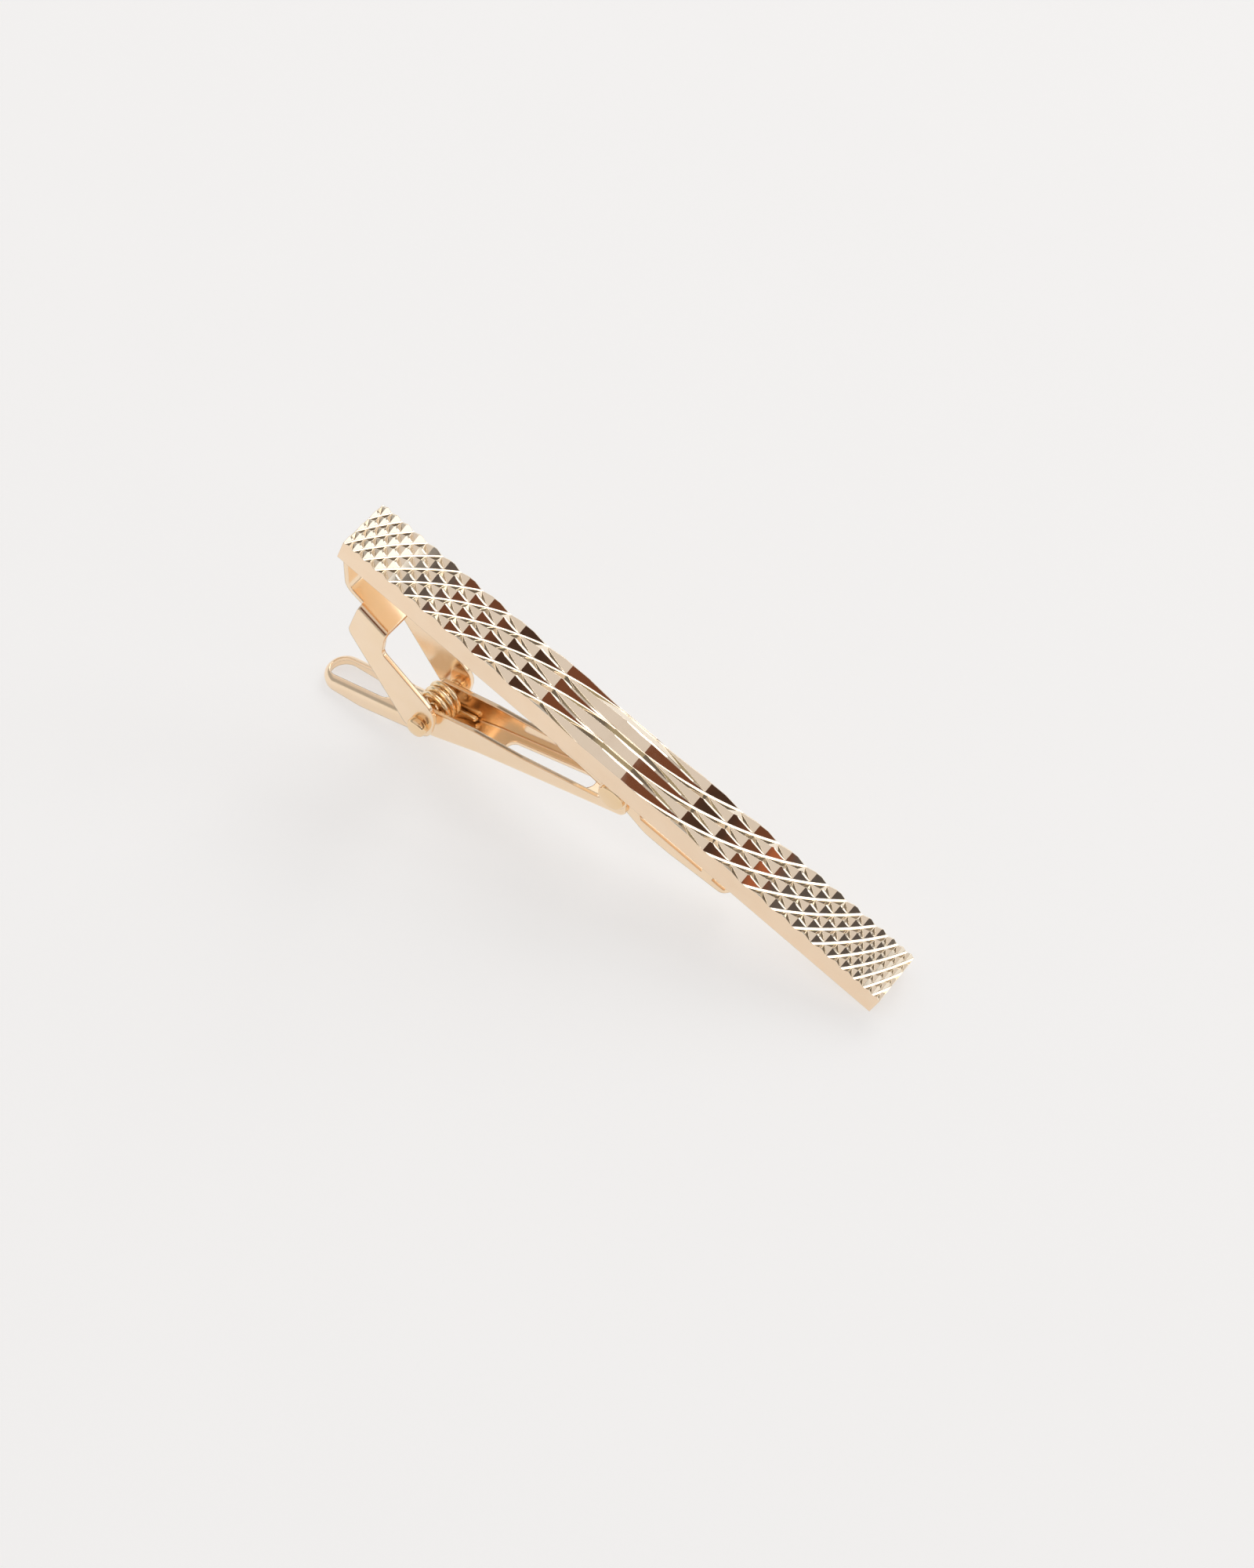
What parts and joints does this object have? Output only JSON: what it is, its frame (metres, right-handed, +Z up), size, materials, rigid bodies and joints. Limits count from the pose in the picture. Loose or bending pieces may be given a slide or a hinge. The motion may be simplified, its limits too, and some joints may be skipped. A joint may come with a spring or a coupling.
{
  "type": "tie clip",
  "caption": "Slim tie clip: a diamond-cut bar on a bent bracket, with a sprung thumb lever that presses a pivoting jaw against the bar's back.",
  "frame": {"origin": "middle of the clip's footprint on the table, with the clip lying on the bar's right end and the thumb loop", "axes": "+X along the clip towards the bar's low end, +Y across the bar towards its far side, +Z up from the table"},
  "size_m": [0.0602, 0.0074, 0.0231],
  "materials": {
    "bar_gold": "polished pale gold plate",
    "sheet_gold": "polished gold plate",
    "pin_gold": "polished gold plate",
    "spring_gold": "gold plated spring wire"
  },
  "bodies": {
    "bar": {"front_bar": "bar_gold", "bracket": "sheet_gold", "main_pin": "pin_gold"},
    "lever": {"lever": "sheet_gold", "jaw_pin": "pin_gold", "spring": "spring_gold"},
    "jaw": {"jaw": "sheet_gold"}
  },
  "joints": [
    {"name": "lever_pivot", "type": "hinge", "parent": "bar", "child": "lever", "pos_m": [-0.01729, 0, 0.00419], "axis": [0, 1, 0], "range_deg": [0, 22], "stiffness_Nm_per_rad": 0.006, "springref_deg": -28.65, "deforming": ["spring"]},
    {"name": "jaw_pivot", "type": "hinge", "parent": "lever", "child": "jaw", "pos_m": [0.00256, 0, 0.00798], "axis": [0, 1, 0], "range_deg": [-22, 0]}
  ],
  "couplings": [
    {"joint": "jaw_pivot", "follows": "lever_pivot", "ratio": -1}
  ]
}
